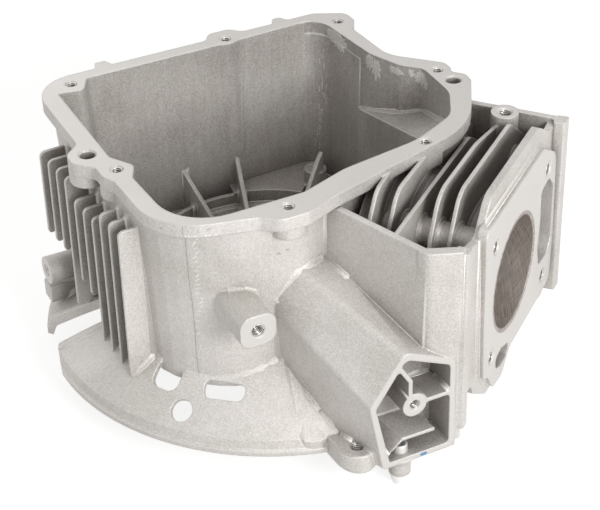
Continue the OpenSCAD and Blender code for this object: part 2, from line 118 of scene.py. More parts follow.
# inside of the crankcase: within the planes round it, on walls that face the crankshaft
from_crank = put(t, "ShaderNodeVectorMath", {0: place, 1: CRANK}, operation="SUBTRACT").outputs[0]
flat = put(t, "ShaderNodeVectorMath", {0: from_crank, 1: (1, 1, 0)}, operation="MULTIPLY").outputs[0]
turned_in = put(t, "ShaderNodeVectorMath", {0: flat, 1: facing}, operation="DOT_PRODUCT").outputs["Value"]
inside = put(t, "ShaderNodeMath", {0: turned_in, 1: 0.5 * mm}, operation="LESS_THAN").outputs[0]
for way, reach in CAVITY:
    far = put(t, "ShaderNodeVectorMath", {0: from_crank, 1: way}, operation="DOT_PRODUCT").outputs["Value"]
    within = put(t, "ShaderNodeMath", {0: far, 1: reach * mm}, operation="LESS_THAN").outputs[0]
    inside = put(t, "ShaderNodeMath", {0: inside, 1: within}, operation="MULTIPLY").outputs[0]
# streaks of 5 mm down the inner walls, where the core was drawn
drawn = put(t, "ShaderNodeMapping", {"Vector": place, "Scale": (210, 210, 14)}).outputs[0]
streaks = put(t, "ShaderNodeTexNoise", {"Vector": drawn, "Scale": 1, "Detail": 3, "Roughness": 0.6}).outputs["Fac"]

# painted shade: walls inside the crankcase take a darker grey than the outer skin
outer = put(t, "ShaderNodeValToRGB", {"Fac": cloud})
inner = put(t, "ShaderNodeValToRGB", {"Fac": cloud})
for ramp, stops in ((outer, ((0.36, "c6c2bd"), (0.62, "d3cfcb"))), (inner, ((0.34, "a9a49f"), (0.64, "bab6b1")))):
    for stop, (at, code) in zip(ramp.color_ramp.elements, stops):
        stop.position, stop.color = at, colour(code)
streaked = put(t, "ShaderNodeMix", {"Factor": 0.25, 6: inner.outputs[0], 7: streaks}, data_type="RGBA",
               blend_type="SOFT_LIGHT").outputs[2]
skin = put(t, "ShaderNodeMix", {"Factor": inside, 6: outer.outputs[0], 7: streaked}, data_type="RGBA").outputs[2]
# painted shade: ambient occlusion darkens gaps and inner corners to a slightly brown grey
open_air = put(t, "ShaderNodeAmbientOcclusion", {"Distance": 34 * mm}, samples=6).outputs["AO"]
painted_corner_shade = put(t, "ShaderNodeMapRange", {"Value": open_air, "From Min": 0.72, "From Max": 0.12, "To Min": 0,
                                     "To Max": 0.78}).outputs[0]
skin = put(t, "ShaderNodeMix", {"Factor": painted_corner_shade, 6: skin, 7: colour("6a635d")}, data_type="RGBA").outputs[2]
for share, pattern in ((0.44, grain), (0.10, pits)):
    skin = put(t, "ShaderNodeMix", {"Factor": share, 6: skin, 7: pattern}, data_type="RGBA",
               blend_type="SOFT_LIGHT").outputs[2]
# painted highlight: outer edges, where the rounded normal leaves the face's, are brightened towards a near white
turned = put(t, "ShaderNodeVectorMath", {0: rounded, 1: facing}, operation="DOT_PRODUCT").outputs["Value"]
edge = put(t, "ShaderNodeMapRange", {"Value": turned, "From Min": 0.99, "From Max": 0.80, "To Min": 0,
                                     "To Max": 0.75}).outputs[0]
painted_edge_light = put(t, "ShaderNodeMix", {"Factor": edge, 6: skin, 7: colour("e8e5e1")}, data_type="RGBA").outputs[2]
# machined faces: milled bright and flat, with faint specks of under 1 mm where the cutter opened a pore
machined = 0.0
for way, reach in MACHINED:
    along = put(t, "ShaderNodeVectorMath", {0: place, 1: way}, operation="DOT_PRODUCT").outputs["Value"]
    cosine = put(t, "ShaderNodeVectorMath", {0: facing, 1: way}, operation="DOT_PRODUCT").outputs["Value"]
    near = put(t, "ShaderNodeMath", {0: along, 1: reach * mm + CRANK.dot(way), 2: FACE_LAYER},
               operation="COMPARE").outputs[0]
    square = put(t, "ShaderNodeMath", {0: cosine, 1: SQUARE_ON}, operation="GREATER_THAN").outputs[0]
    cut_here = put(t, "ShaderNodeMath", {0: near, 1: square}, operation="MULTIPLY").outputs[0]
    machined = put(t, "ShaderNodeMath", {0: machined, 1: cut_here}, operation="MAXIMUM").outputs[0]
cells = put(t, "ShaderNodeTexVoronoi", {"Vector": place, "Scale": 120}, feature="F1").outputs
speck = put(t, "ShaderNodeMath", {0: cells["Distance"], 1: 0.055}, operation="LESS_THAN").outputs[0]
chance = put(t, "ShaderNodeSeparateColor", {0: cells["Color"]}).outputs[0]
rare = put(t, "ShaderNodeMath", {0: chance, 1: 0.35}, operation="LESS_THAN").outputs[0]
speck = put(t, "ShaderNodeMath", {0: speck, 1: rare}, operation="MULTIPLY").outputs[0]
milled = put(t, "ShaderNodeMix", {"Factor": cloud, 6: colour("c9c5c1"), 7: colour("d7d4d0")},
             data_type="RGBA").outputs[2]
milled = put(t, "ShaderNodeMix", {"Factor": 0.10, 6: milled, 7: grain}, data_type="RGBA",
             blend_type="SOFT_LIGHT").outputs[2]
milled = put(t, "ShaderNodeMix", {"Factor": speck, 6: milled, 7: colour("a09a94")}, data_type="RGBA").outputs[2]
tone = put(t, "ShaderNodeMix", {"Factor": machined, 6: painted_edge_light, 7: milled}, data_type="RGBA").outputs[2]
rough = put(t, "ShaderNodeMapRange", {"Value": grain, "To Min": 0.50, "To Max": 0.68}).outputs[0]
for share, smoother in ((edge, 0.48), (machined, 0.40)):
    rough = put(t, "ShaderNodeMix", {"Factor": share, 2: rough, 3: smoother}, data_type="FLOAT").outputs[0]
relief = put(t, "ShaderNodeMix", {"Factor": 0.4, 2: grain, 3: pits}, data_type="FLOAT").outputs[0]
depth = put(t, "ShaderNodeMapRange", {"Value": machined, "To Min": 0.36, "To Max": 0.03}).outputs[0]
bump = put(t, "ShaderNodeBump", {"Strength": depth, "Distance": 0.45 * mm, "Height": relief,
                                 "Normal": rounded}).outputs[0]
shader = put(t, "ShaderNodeBsdfPrincipled", {"Base Color": tone, "Metallic": 0.4, "Roughness": rough,
                                             "Normal": bump}).outputs[0]
put(t, "ShaderNodeOutputMaterial", {"Surface": shader})
block.data.materials.clear()
block.data.materials.append(cast)


# ---------------------------------------------------------------- cast fillets
# No inner corner of a die casting is sharp: the die is rounded so that metal flows and cools evenly. Each inner
# corner of the casting gets a hollow fillet of about 3 mm, or less where a face is too narrow to carry it.
REACHES = (3.2 * mm, 2.2 * mm, 1.4 * mm, 0.8 * mm)      # along each face, the widest that fits
ARC_STEPS = 5
SHORTEST = 0.4 * mm                   # edges under this get none
SHALLOWEST = math.radians(32)         # nor do corners that turn in by less
NARROWEST = math.radians(20)          # nor those whose half angle is under this
LYING_ON = 0.06 * mm                  # a face carries a fillet that comes this near it
TESTED_AT = (0.08, 0.5, 0.92)         # along the corner
ROOT_DEPTH = 0.25 * mm                # the fillet's back goes into the corner
LIP_DEPTH = 0.05 * mm                 # and its lips and ends into the metal, so that no gap shows
END_GAP = 0.42 * mm                   # ends nearer than this meet
RUN_OUT = 0.05                        # share of the section that is left where a fillet dies away
SHARPEST_BEND = math.radians(100)     # past this two fillets aren't mitred


def finished_piece(name, form, material):
    """Turns a form's faces outwards and links it as one piece of the object that rides on its only body."""
    bmesh.ops.recalc_face_normals(form, faces=form.faces)
    mesh = bpy.data.meshes.new(name)
    form.to_mesh(mesh)
    form.free()
    mesh.materials.append(material)
    piece = bpy.data.objects.new(name, mesh)
    bpy.context.scene.collection.objects.link(piece)
    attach(piece, "root")
    return piece


welded = bmesh.new()
welded.from_mesh(block.data)
bmesh.ops.remove_doubles(welded, verts=welded.verts, dist=0.01 * mm)
welded.normal_update()
skin_tree = BVHTree.FromBMesh(welded)
strips, corners_at = [], {}
for corner in welded.edges:
    if len(corner.link_faces) != 2 or corner.calc_length() < SHORTEST:
        continue
    if corner.calc_face_angle_signed(0) > -SHALLOWEST:
        continue
    for corner_end in corner.verts:
        corners_at[corner_end.index] = corners_at.get(corner_end.index, 0) + 1
    start, end = (v.co.copy() for v in corner.verts)
    run = (end - start).normalized()
    sides = []
    for beside in corner.link_faces:
        into = beside.calc_center_median() - start
        sides.append((into - run * into.dot(run)).normalized())
    half = sides[0].angle(sides[1]) / 2
    if half < NARROWEST:
        continue
    outward = (sides[0] + sides[1]).normalized()
    reach = next((r for r in REACHES
                  if all(skin_tree.find_nearest(start.lerp(end, s) + way * r)[3] < LYING_ON
                         for way in sides for s in TESTED_AT)), None)
    if reach is None:
        continue
    middle = outward * (reach / math.cos(half))
    radius = reach * math.tan(half)
    first, last = sides[0] * reach - middle, sides[1] * reach - middle
    swing = first.angle(last)
    section = [-outward * ROOT_DEPTH]
    for k in range(ARC_STEPS + 1):
        a = k / ARC_STEPS
        spoke = (first * math.sin((1 - a) * swing) + last * math.sin(a * swing)) / math.sin(swing)
        sunk = LIP_DEPTH if k in (0, ARC_STEPS) else 0
        section.append(middle + spoke.normalized() * radius - outward * sunk)
    strips.append({"ends": [start, end], "run": run, "sections": [section, section], "open": [True, True],
                   "reach": reach, "verts": [v.index for v in corner.verts]})
# where two strips follow one another round a bend, both take the section of the mitre between them
finder = KDTree(len(strips) * 2)
for i, strip in enumerate(strips):
    for e in (0, 1):
        finder.insert(strip["ends"][e], 2 * i + e)
finder.balance()
met = set()
for number in range(len(strips) * 2):
    if number in met:
        continue
    one, e = strips[number // 2], number % 2
    group = [n for _, n, _ in finder.find_range(one["ends"][e], END_GAP) if n not in met]
    met.update(group)
    if len(group) == 1 and corners_at[one["verts"][e]] > 1:
        one["sections"][e] = [p * RUN_OUT for p in one["sections"][e]]
    if len(group) != 2 or group[0] // 2 == group[1] // 2:
        continue
    (one, e), (two, f) = ((strips[n // 2], n % 2) for n in group)
    one_run = one["run"] * (1 if e else -1)
    two_run = two["run"] * (-1 if f else 1)
    bend = one_run.angle(two_run, 0)
    if bend > SHARPEST_BEND:
        continue
    narrow = min(one["reach"], two["reach"])
    a, b = ([p * narrow / strip["reach"] for p in strip["sections"][k]] for strip, k in ((one, e), (two, f)))
    turned_round = [b[0]] + b[1:][::-1]
    same = sum((p - q).length for p, q in zip(a, b)) <= sum((p - q).length for p, q in zip(a, turned_round))
    b = b if same else turned_round
    pole = one_run.cross(two_run)
    pole = pole.normalized() if pole.length > 1e-3 else Vector((0, 0, 0))
    mitre = []
    for p, q in zip(a, b):
        upright = pole * (p.dot(pole) + q.dot(pole)) / 2
        mitre.append(upright + (p - pole * p.dot(pole) + q - pole * q.dot(pole)) / (1 + math.cos(bend)))
    one["ends"][e] = two["ends"][f] = (one["ends"][e] + two["ends"][f]) / 2
    one["sections"][e] = mitre
    two["sections"][f] = mitre if same else [mitre[0]] + mitre[1:][::-1]
    one["open"][e] = two["open"][f] = False
fillets = bmesh.new()
for strip in strips:
    rings = []
    for e in (0, 1):
        spot = strip["ends"][e] + strip["run"] * ((e * 2 - 1) * LIP_DEPTH if strip["open"][e] else 0)
        rings.append([fillets.verts.new(spot + s) for s in strip["sections"][e]])
    for k in range(ARC_STEPS + 2):
        j = (k + 1) % (ARC_STEPS + 2)
        band = fillets.faces.new((rings[0][k], rings[0][j], rings[1][j], rings[1][k]))
        band.smooth = 0 < k <= ARC_STEPS
    for e in (0, 1):
        if strip["open"][e]:
            fillets.faces.new(rings[e])
bmesh.ops.remove_doubles(fillets, verts=fillets.verts, dist=0.002 * mm)
# the same skin, without the painted highlight on outer edges
hollow = cast.copy()
hollow.name = "die_cast_aluminium_in_fillets"
hollow.node_tree.nodes["Bevel"].inputs["Radius"].default_value = 0
finished_piece("cast_fillets", fillets, hollow)


# ---------------------------------------------------------------- ear and skirt facet
# Two forms of the casting beside the breather box: the mounting ear, a thick tongue with a rounded end, and the
# flat facet by which the box runs out on the skirt. Both are cast with the block and drafted downwards.
EAR_OUTLINE = [(166, -40.6), (181, -42.6), (198, -42.4), (209, -41.4), (216.5, -38.2), (221.2, -33.2),
               (222.6, -27.6), (221, -22), (214, -14), (196, -10), (172, -14)]      # u and v, to be rounded
EAR_MIDDLE = Vector((199, -27))
EAR_TOP, EAR_FOOT = -79.9, -95.9
# heights with how far the outline has grown there: rounded edges above and below, and the draft between them
EAR_LEVELS = ((EAR_TOP, -1.0), (-80.4, -0.35), (-81.2, 0.0), (-94.0, 0.9), (-95.2, 0.5), (EAR_FOOT, -0.8))
EAR_HOLE = (208.6, -28)
HOLE_LEVELS = ((EAR_TOP, 6.0), (-80.9, 5.0), (-95.0, 5.0), (EAR_FOOT, 5.9))         # heights with radii
HOLE_POINTS, OUTLINE_POINTS = 40, 80


def uvz(u, v, z):
    """A point given in the crankcase's own directions, in millimetres."""
    return CRANK + ACROSS * u * mm + ALONG * v * mm + Vector((0, 0, z * mm))


def join_rings(form, one, other):
    """Joins two closed rings of points by a band of faces."""
    for k in range(len(one)):
        j = (k + 1) % len(one)
        form.faces.new((one[k], one[j], other[j], other[k]))


ear = bmesh.new()
rings = []
for z, grow in EAR_LEVELS:
    ring = []
    for k in range(OUTLINE_POINTS):
        # a smooth curve through the outline's corners, walked evenly
        f = k / OUTLINE_POINTS * len(EAR_OUTLINE)
        i, s = int(f), f % 1
        corners = (EAR_OUTLINE[(i + j) % len(EAR_OUTLINE)] for j in (-1, 0, 1, 2))
        spot = Vector([0.5 * (2 * b + (c - a) * s + (2 * a - 5 * b + 4 * c - d) * s ** 2
                              + (3 * b - a - 3 * c + d) * s ** 3) for a, b, c, d in zip(*corners)])
        spot += (spot - EAR_MIDDLE).normalized() * grow
        ring.append(ear.verts.new(uvz(spot.x, spot.y, z)))
    rings.append(ring)
bores = [[ear.verts.new(uvz(EAR_HOLE[0] + r * math.cos(math.tau * k / HOLE_POINTS),
                            EAR_HOLE[1] + r * math.sin(math.tau * k / HOLE_POINTS), z)) for k in range(HOLE_POINTS)]
         for z, r in HOLE_LEVELS]
for levels in (rings, bores):
    for upper, lower in zip(levels[:-1], levels[1:]):
        join_rings(ear, upper, lower)
for loops in ((rings[0], bores[0]), (rings[-1], bores[-1])):
    rim = [ear.edges.get((loop[k], loop[(k + 1) % len(loop)])) for loop in loops for k in range(len(loop))]
    bmesh.ops.triangle_fill(ear, use_beauty=True, edges=rim)
finished_piece("mounting_ear", ear, cast)

# x, y and z from the crankshaft; the free edge comes first
FACET_RIM = [(66.5, -134.5, -44.5), (75.1, -139.9, -51.6), (87.1, -149.6, -63.4), (97.2, -156.2, -72.0),
             (103.5, -159.8, -77.4), (108.5, -160.6, -80.4), (113.5, -158.6, -81.6), (119.5, -154.6, -81.2),
             (124.5, -146.5, -80.4), (124.5, -131.0, -78.6), (112.0, -124.0, -66.0), (92.0, -116.0, -46.0),
             (74.0, -110.0, -28.5), (69.0, -122.0, -37.0)]
FREE_POINTS = 5
FACET_MIDDLE = (96.0, -136.5, -60.6)
FACET_FOOT = Vector((0.6, 1.0, -9))   # from its rim to its foot, inside the skirt
LOOK_FROM, LOOK_DOWN, NEAR_SKIRT = 12 * mm, 40 * mm, 6 * mm
FLUSH = 0.12 * mm                     # the free edge runs out this far under the skirt's surface
facet = bmesh.new()
top = []
for k, p in enumerate(FACET_RIM):
    aim = CRANK + Vector(p) * mm
    if k < FREE_POINTS:
        under = skin_tree.ray_cast(aim + UPWARD * LOOK_FROM, -UPWARD, LOOK_DOWN)[0]
        if under and abs(under.z - aim.z) < NEAR_SKIRT:
            aim = under - UPWARD * FLUSH
    top.append(facet.verts.new(aim))
middle = facet.verts.new(CRANK + Vector(FACET_MIDDLE) * mm)
foot = [facet.verts.new(CRANK + (Vector(p) + FACET_FOOT) * mm) for p in FACET_RIM]
for k in range(len(top)):
    facet.faces.new((top[k], top[(k + 1) % len(top)], middle))
join_rings(facet, top, foot)
facet.faces.new(foot[::-1])
finished_piece("skirt_facet", facet, cast)


# ---------------------------------------------------------------- side wall of the breather box
# The right-hand wall of the box's open chamber and the end of its back wall, 5 mm thick and cast with the block.
# Its top follows the roof of the box, which falls away to the right.
WALL_PLAN = [(193.5, 30.0), (199.3, 30.0), (199.3, 38.9), (228.9, 39.1), (228.9, 44.3), (193.5, 44.6)]     # u, v
WALL_FOOT, WALL_TOP = -92.6, -12.6
FALL_FROM, FALL = 39.5, 0.7
side = bmesh.new()
foot = [side.verts.new(uvz(u, v, WALL_FOOT)) for u, v in WALL_PLAN]
head = [side.verts.new(uvz(u, v, WALL_TOP - max(v - FALL_FROM, 0) * FALL)) for u, v in WALL_PLAN]
join_rings(side, foot, head)
side.faces.new(head)
side.faces.new(foot[::-1])
finished_piece("box_side_wall", side, cast)


# ---------------------------------------------------------------- marks of the die
# Thin flakes of flash that tore off at the core's edge and stuck to the inner wall, the raised line where two
# slides of the die meet, and short scuffs that the moving slide left beside it. All are bare aluminium.
rng = random.Random(11)
# torn flash is crumpled on a scale of 2 mm and catches the light in bright flecks
flash, t = new_material("torn_aluminium_flash")
place = put(t, "ShaderNodeTexCoord").outputs["Object"]
crumple = put(t, "ShaderNodeTexNoise", {"Vector": place, "Scale": 420, "Detail": 4, "Roughness": 0.7}).outputs["Fac"]
tone = put(t, "ShaderNodeMix", {"Factor": crumple, 6: colour("bab5af"), 7: colour("efece8")},
           data_type="RGBA").outputs[2]
bump = put(t, "ShaderNodeBump", {"Strength": 0.5, "Distance": 0.5 * mm, "Height": crumple}).outputs[0]
shader = put(t, "ShaderNodeBsdfPrincipled", {"Base Color": tone, "Metallic": 0.4, "Roughness": 0.55,
                                             "Normal": bump}).outputs[0]
put(t, "ShaderNodeOutputMaterial", {"Surface": shader})

# centre near the wall, half width and half height, in millimetres; the upper edge hangs from the flange
FLAKES = [((-210.5, 147.5, 86.5), 13.0, 8.0), ((-222.0, 152.5, 88.5), 7.0, 5.0), ((-172.5, 122.5, 86.5), 6.0, 7.0),
          ((-166.0, 119.5, 83.0), 5.0, 9.5), ((-146.0, 114.0, 88.0), 8.0, 4.0), ((-132.5, 113.3, 88.5), 2.8, 4.5),
          ((-124.0, 113.0, 86.0), 6.0, 6.5), ((-119.0, 111.5, 82.5), 3.4, 5.5)]
FLAKE_POINTS = 34
UNDER_FLANGE = 94.4 * mm
HUB_LIFT, INNER_LIFT, RIM_LIFT, BACK_LIFT = 0.5, 0.45, 0.30, -0.25      # millimetres off the wall
flakes = bmesh.new()
for centre, wide, tall in FLAKES:
    spot, out, _, _ = skin_tree.find_nearest(Vector(centre) * mm)
    sideways = UPWARD.cross(out).normalized()
    hub = flakes.verts.new(spot + out * HUB_LIFT * mm)
    inner_ring, rim, back_ring = [], [], []
    for k in range(FLAKE_POINTS):
        a = math.tau * k / FLAKE_POINTS
        ragged = rng.uniform(0.62, 1.15)
        for r, lift, ring in ((0.55, INNER_LIFT, inner_ring), (ragged, RIM_LIFT, rim),
                              (ragged, BACK_LIFT, back_ring)):
            aim = spot + sideways * math.cos(a) * wide * r * mm + Vector((0, 0, math.sin(a) * tall * r * mm))
            aim.z = min(aim.z, UNDER_FLANGE)
            near, normal, _, _ = skin_tree.find_nearest(aim)
            ring.append(flakes.verts.new(near + normal * lift * rng.uniform(0.7, 1.3) * mm))
    for k in range(FLAKE_POINTS):
        flakes.faces.new((hub, inner_ring[k], inner_ring[(k + 1) % FLAKE_POINTS]))
    join_rings(flakes, inner_ring, rim)
    join_rings(flakes, rim, back_ring)
    flakes.faces.new(back_ring)
finished_piece("flash_flakes", flakes, flash)

# painted shade: the parting line is a darker grey along its bead, in patches of 4 mm, as are the dark nicks; scraped
# metal is nearly white
line_shade_and_nick_grey, t = new_material("parting_line_painted_shade_and_dark_nicks")
place = put(t, "ShaderNodeTexCoord").outputs["Object"]
dirt = put(t, "ShaderNodeTexNoise", {"Vector": place, "Scale": 260, "Detail": 3, "Roughness": 0.6}).outputs["Fac"]
tone = put(t, "ShaderNodeMix", {"Factor": dirt, 6: colour("958e88"), 7: colour("bfbab4")},
           data_type="RGBA").outputs[2]
shader = put(t, "ShaderNodeBsdfPrincipled", {"Base Color": tone, "Metallic": 0.3, "Roughness": 0.6}).outputs[0]
put(t, "ShaderNodeOutputMaterial", {"Surface": shader})
scraped, t = new_material("scraped_bare_aluminium")
place = put(t, "ShaderNodeTexCoord").outputs["Object"]
dull = put(t, "ShaderNodeTexNoise", {"Vector": place, "Scale": 600, "Detail": 2}).outputs["Fac"]
tone = put(t, "ShaderNodeMix", {"Factor": dull, 6: colour("e3e0dc"), 7: colour("faf9f7")},
           data_type="RGBA").outputs[2]
shader = put(t, "ShaderNodeBsdfPrincipled", {"Base Color": tone, "Metallic": 0.3, "Roughness": 0.5}).outputs[0]
put(t, "ShaderNodeOutputMaterial", {"Surface": shader})

# the parting line outside, the edge of the core inside, and drag marks in the drafted corner beyond it
PARTING = [(-192.6, -170, 94), (-192.6, -170, 85), (-196.8, -158.5, 82), (-197.0, -158.3, 61.7),
           (-197.1, -157.4, 39.0), (-196.1, -156.5, 20.8), (-196.0, -155.4, -7.3), (-196.7, -154.6, -26.7),
           (-196.0, -154.2, -50.0)]
CORE_EDGE = [(-281.3, 105.8, 92.5), (-280.9, 100.5, 42), (-280.6, 95.4, -8)]
DRAG_MARKS, DRAG_STEP, DRAG_TOP = 30, 3.3, 80
drags = []
for k in range(DRAG_MARKS):
    z = DRAG_TOP - DRAG_STEP * k + rng.uniform(-4, 4)
    x, y = -227.1 - 0.077 * (76 - z) + rng.gauss(0, 3.2), 155.0 - 0.047 * (76 - z)
    drags.append([(x, y, z), (x + rng.uniform(-0.8, 0.8), y, z - rng.uniform(2, 8))])
BEAD_STEP = 2.5 * mm
BEAD_FOOT = -0.1                      # its two edges lie this far under the surface, in millimetres
for name, paths, half, rise, material in (("parting_line", [PARTING], 0.36, 0.20, line_shade_and_nick_grey),
                                          ("core_edge", [CORE_EDGE], 1.8, 0.45, hollow),
                                          ("drag_marks", drags, 0.38, 0.14, flash)):
    line = bmesh.new()
    for path in paths:
        last = None
        for here, there in zip(path[:-1], path[1:]):
            a, b = Vector(here) * mm, Vector(there) * mm
            count = max(2, int((b - a).length / BEAD_STEP))
            for i in range(0 if last is None else 1, count + 1):
                near, normal, _, _ = skin_tree.find_nearest(a.lerp(b, i / count))
                across = (b - a).normalized().cross(normal).normalized()
                ring = [line.verts.new(near + across * s * half * mm + normal * h * mm)
                        for s, h in ((-1, BEAD_FOOT), (-0.5, rise), (0.5, rise), (1, BEAD_FOOT))]
                if last is None:
                    line.faces.new(ring)
                else:
                    join_rings(line, last, ring)
                last = ring
        line.faces.new(last)
    finished_piece(name, line, material)


def new_tree(name, labels, result):
    """A Geometry Nodes tree with named inputs: the tree, its inputs inside, and their identifiers."""
    tree = bpy.data.node_groups.new(name, "GeometryNodeTree")
    sockets = {label: tree.interface.new_socket(label, in_out="INPUT", socket_type="NodeSocket" + kind).identifier
               for label, kind in labels}
    tree.interface.new_socket(result, in_out="OUTPUT", socket_type="NodeSocketGeometry")
    return tree, put(tree, "NodeGroupInput").outputs, sockets


def grown_piece(name, places, tree, sockets, inputs):
    """Runs a tree on points that carry the way out of the surface, and keeps the plain mesh as one piece."""
    points = bpy.data.meshes.new(name)
    points.from_pydata([tuple(spot) for spot, _ in places], [], [])
    ways = points.attributes.new("out_way", "FLOAT_VECTOR", "POINT")
    ways.data.foreach_set("vector", [c for _, way in places for c in way])
    piece = bpy.data.objects.new(name, points)
    bpy.context.scene.collection.objects.link(piece)
    grown = piece.modifiers.new("grown", "NODES")
    grown.node_group = tree
    for label, value in inputs.items():
        grown[sockets[label]] = value
    made = bpy.data.meshes.new_from_object(piece.evaluated_get(bpy.context.evaluated_depsgraph_get()))
    piece.modifiers.clear()
    piece.data = made
    made.name = name
    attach(piece, "root")


# scuffs: one tree lays a short sliver on each point, turned to the wall, leaning and sized at random
SPREAD = 0.55                         # radians to either side of the lean
tree, given, sockets = new_tree("sliver_on_each_point", (
    ("Points", "Geometry"), ("Length", "Float"), ("Breadth", "Float"), ("Height", "Float"), ("Lean", "Float"),
    ("Seed", "Int"), ("Finish", "Material")), "Slivers")
ball = put(tree, "GeometryNodeMeshIcoSphere", {"Radius": 1.0, "Subdivisions": 2}).outputs[0]
shape = put(tree, "ShaderNodeCombineXYZ", {0: given["Length"], 1: given["Breadth"], 2: given["Height"]}).outputs[0]
sliver = put(tree, "GeometryNodeTransform", {"Geometry": ball, "Scale": shape}).outputs[0]
out_way = put(tree, "GeometryNodeInputNamedAttribute", {"Name": "out_way"},
              data_type="FLOAT_VECTOR").outputs["Attribute"]
upright = put(tree, "FunctionNodeAlignRotationToVector", {"Vector": out_way}, axis="Z").outputs[0]
less = put(tree, "ShaderNodeMath", {0: given["Lean"], 1: SPREAD}, operation="SUBTRACT").outputs[0]
more = put(tree, "ShaderNodeMath", {0: given["Lean"], 1: SPREAD}, operation="ADD").outputs[0]
lean = put(tree, "FunctionNodeRandomValue", {2: less, 3: more, "Seed": given["Seed"]}, data_type="FLOAT").outputs[1]
lean = put(tree, "ShaderNodeCombineXYZ", {"Z": lean}).outputs[0]
placed = put(tree, "FunctionNodeRotateRotation", {0: upright, 1: lean}, rotation_space="LOCAL").outputs[0]
sizes = put(tree, "FunctionNodeRandomValue", {2: 0.55, 3: 1.2, "Seed": given["Seed"]}, data_type="FLOAT").outputs[1]
each = put(tree, "GeometryNodeInstanceOnPoints", {"Points": given["Points"], "Instance": sliver, "Rotation": placed,
                                                  "Scale": sizes}).outputs[0]
each = put(tree, "GeometryNodeRealizeInstances", {0: each}).outputs[0]
each = put(tree, "GeometryNodeSetMaterial", {"Geometry": each, "Material": given["Finish"]}).outputs[0]
put(tree, "NodeGroupOutput", {0: each})

# scuffs down beside the parting line, flecks on the flange and a few dark nicks on it and on the wall below
scuffs = [Vector((-189.8 + rng.uniform(-1.6, 1.6), -157, 77 - 4.1 * k)) * mm for k in range(17)]
scuffs += [Vector((-193.2 + rng.uniform(-1.4, 1.4), -156, 8 - 6 * k)) * mm for k in range(4)]
flecks = [Vector((-147 + rng.uniform(-9, 9), -132 + rng.uniform(-3, 3), 87.5)) * mm for k in range(26)]
flecks += [uvz(rng.uniform(120, 136), -100 + rng.uniform(-22, 22), 85.5) for k in range(18)]
nicks = [Vector((-140.3 + rng.uniform(-2.5, 2.5), -124.1, 56.3 + rng.uniform(-0.6, 0.6))) * mm for k in range(4)]
nicks += [Vector((-135.9 + rng.uniform(-2, 2), -118, 57.2 + rng.uniform(-0.6, 0.6))) * mm for k in range(3)]
nicks += [Vector(p) * mm for p in ((-175.8, -161, 91.1), (-209.7, -170.2, 88.9))]
SLIVER_HEIGHT = 0.22 * mm
for name, spots, length, breadth, lean, seed, finish in (("slide_scuffs", scuffs, 2.2, 0.42, 0.7, 5, scraped),
                                                         ("flange_flecks", flecks, 0.9, 0.5, 0.0, 9, scraped),
                                                         ("dark_nicks", nicks, 1.3, 0.35, 0.2, 3, line_shade_and_nick_grey)):
    laid = [skin_tree.find_nearest(spot)[:2] for spot in spots]
    grown_piece(name, laid, tree, sockets, {"Length": length * mm, "Breadth": breadth * mm, "Lean": lean,
                                            "Height": SLIVER_HEIGHT, "Seed": seed, "Finish": finish})
welded.free()


# ---------------------------------------------------------------- inspection dab
# A dab of blue marking paint on the lower rim of the breather box, brushed on when the casting was inspected.
# The film is thin, so its blue is paler in patches of 2 mm.
paint, t = new_material("blue_marking_paint")
place = put(t, "ShaderNodeTexCoord").outputs["Object"]
thin = put(t, "ShaderNodeTexNoise", {"Vector": place, "Scale": 500, "Detail": 3}).outputs["Fac"]
tone = put(t, "ShaderNodeMix", {"Factor": thin, 6: colour("3f6f9f"), 7: colour("7fa3c4")},
           data_type="RGBA").outputs[2]
shader = put(t, "ShaderNodeBsdfPrincipled", {"Base Color": tone, "Roughness": 0.5}).outputs[0]
put(t, "ShaderNodeOutputMaterial", {"Surface": shader})
DAB_U, DAB_V, DAB_Z = 229.06, 17.5, -91.0
DAB_WIDE, DAB_TALL, DAB_RISE, DAB_POINTS = 3.6, 1.7, 0.19, 20
dab = bmesh.new()
hub = dab.verts.new(uvz(DAB_U + DAB_RISE, DAB_V, DAB_Z))
rim = []
for k in range(DAB_POINTS):
    a = math.tau * k / DAB_POINTS
    v = DAB_V + DAB_WIDE * math.cos(a) * rng.uniform(0.75, 1.1)
    z = DAB_Z + DAB_TALL * math.sin(a) * rng.uniform(0.8, 1.1)
    rim.append(dab.verts.new(uvz(DAB_U, v, z)))
back = [dab.verts.new(v.co - ACROSS * 0.2 * mm) for v in rim]
for k in range(DAB_POINTS):
    dab.faces.new((hub, rim[k], rim[(k + 1) % DAB_POINTS]))
join_rings(dab, rim, back)
dab.faces.new(back)
finished_piece("inspection_dab", dab, paint)


